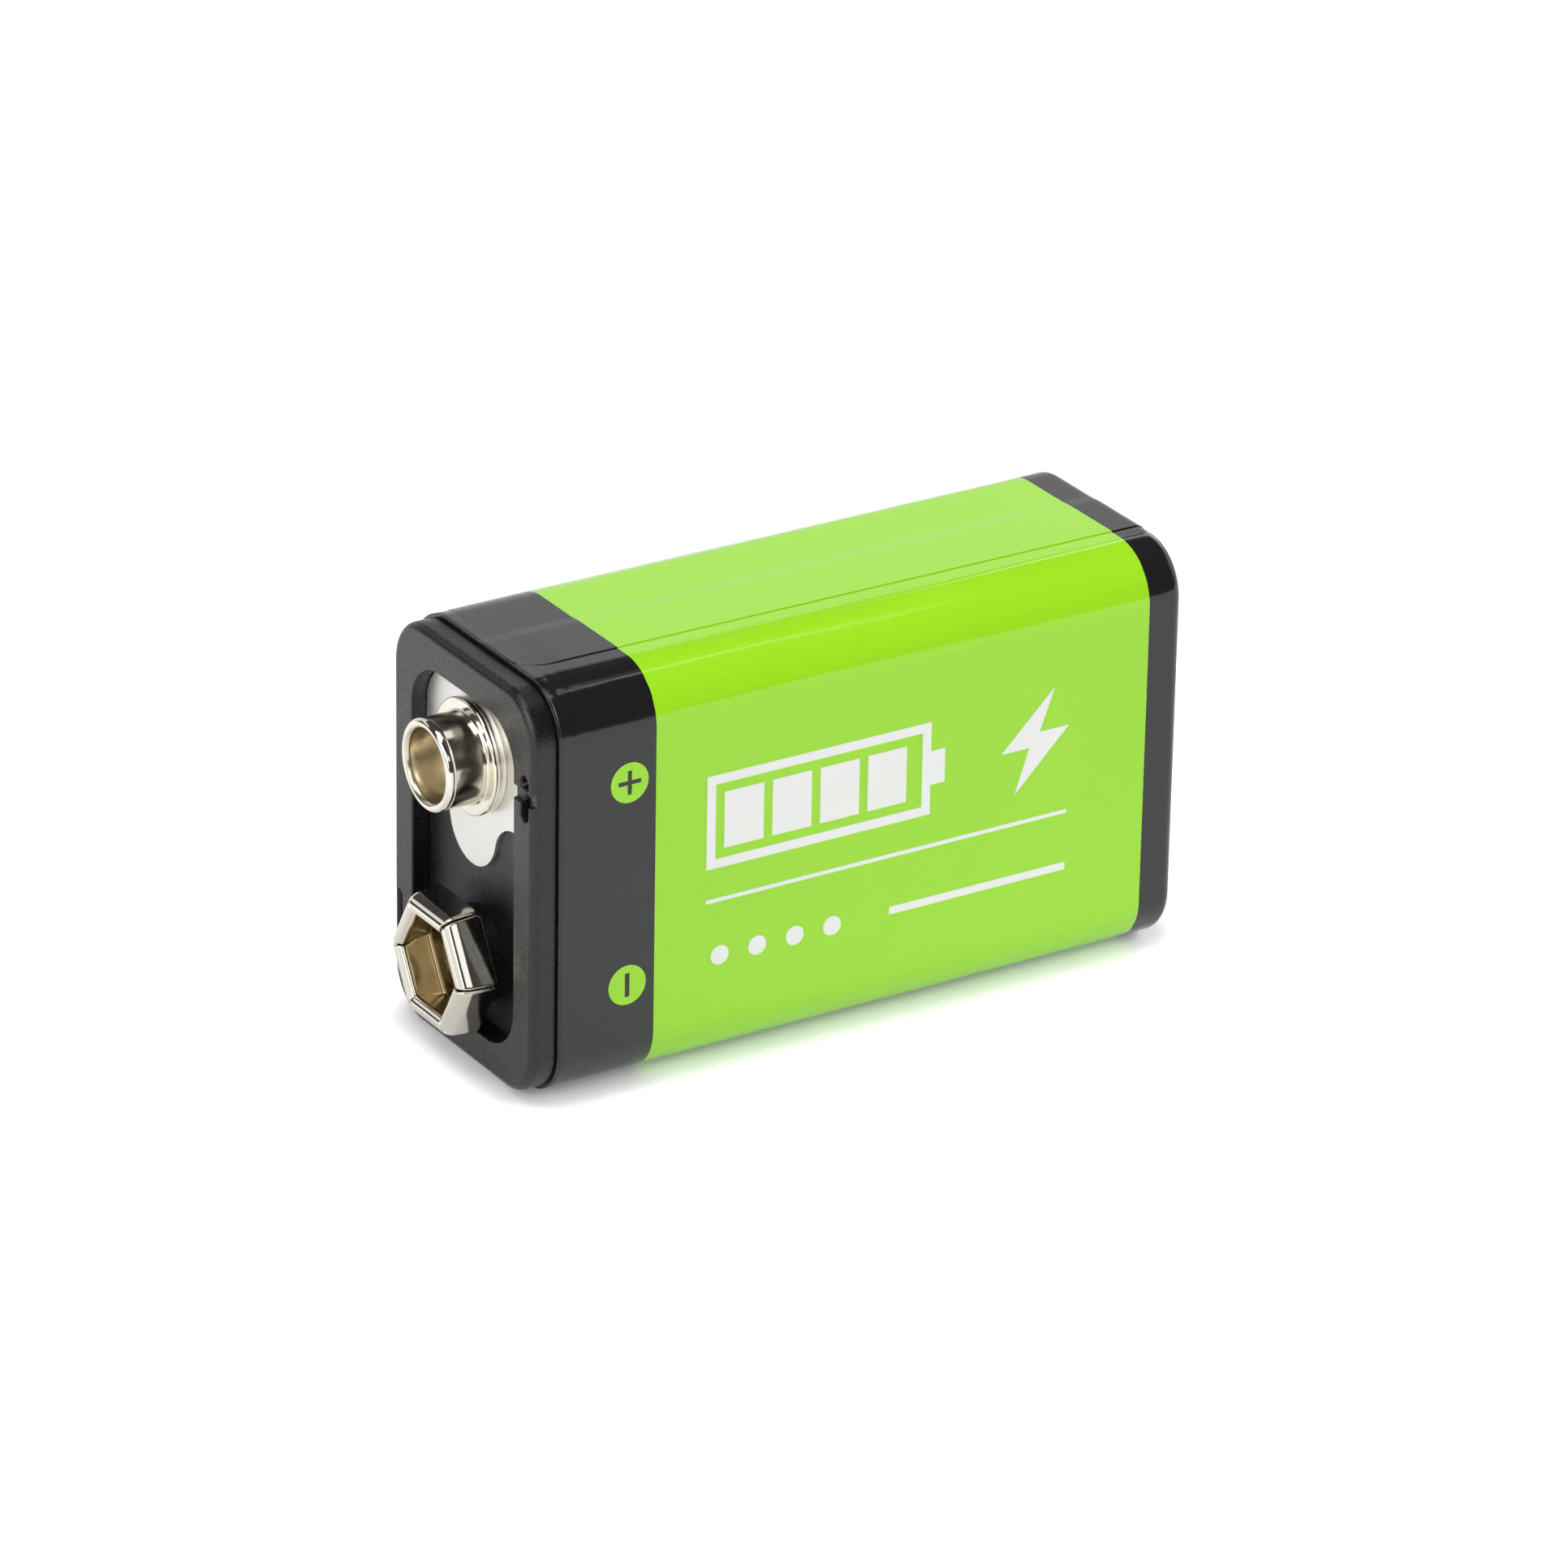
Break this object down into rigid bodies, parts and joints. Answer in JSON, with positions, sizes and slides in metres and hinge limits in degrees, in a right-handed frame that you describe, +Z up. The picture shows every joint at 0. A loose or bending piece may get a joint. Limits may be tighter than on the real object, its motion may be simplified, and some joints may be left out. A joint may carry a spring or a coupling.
{
  "type": "nine volt battery",
  "caption": "Rectangular rechargeable block battery in a printed film, lying on a narrow side, with a round stud and a hexagonal socket in a framed recess at one end.",
  "frame": {"origin": "on the surface that the battery lies on, under the middle of its box", "axes": "+X from the terminals to the closed end, +Y away from the broad face with the polarity discs, +Z up, with the stud above the socket"},
  "size_m": [0.0474, 0.0166, 0.0263],
  "materials": {
    "printed_film": "gloss",
    "black_moulding": "satin",
    "textured_moulding": "fine texture",
    "board": "satin",
    "nickel_plate": "bright nickel",
    "nickel_strip": "plain nickel",
    "cell_can": "nickel-plated steel",
    "fibre_sheet": "matt",
    "shrink_wrap": "gloss",
    "foam": "matt"
  },
  "bodies": {
    "root": {"printed_sleeve": "printed_film", "moulded_can": "black_moulding", "terminal_cap": "textured_moulding", "terminal_board": "board", "positive_plate": "nickel_plate", "positive_stud": "nickel_plate", "positive_rivet": "nickel_plate", "negative_socket": "nickel_plate", "negative_rivet": "nickel_plate", "positive_lead": "nickel_strip", "negative_lead": "nickel_strip", "front_insulator": "fibre_sheet", "stack_wrap": "shrink_wrap", "end_cushion": "foam", "cell_1": "cell_can", "cell_2": "cell_can", "cell_3": "cell_can", "cell_4": "cell_can", "cell_5": "cell_can", "cell_6": "cell_can", "cell_7": "cell_can", "cell_link_1": "nickel_strip", "cell_link_2": "nickel_strip", "cell_link_3": "nickel_strip", "cell_link_4": "nickel_strip", "cell_link_5": "nickel_strip", "cell_link_6": "nickel_strip"}
  },
  "joints": []
}
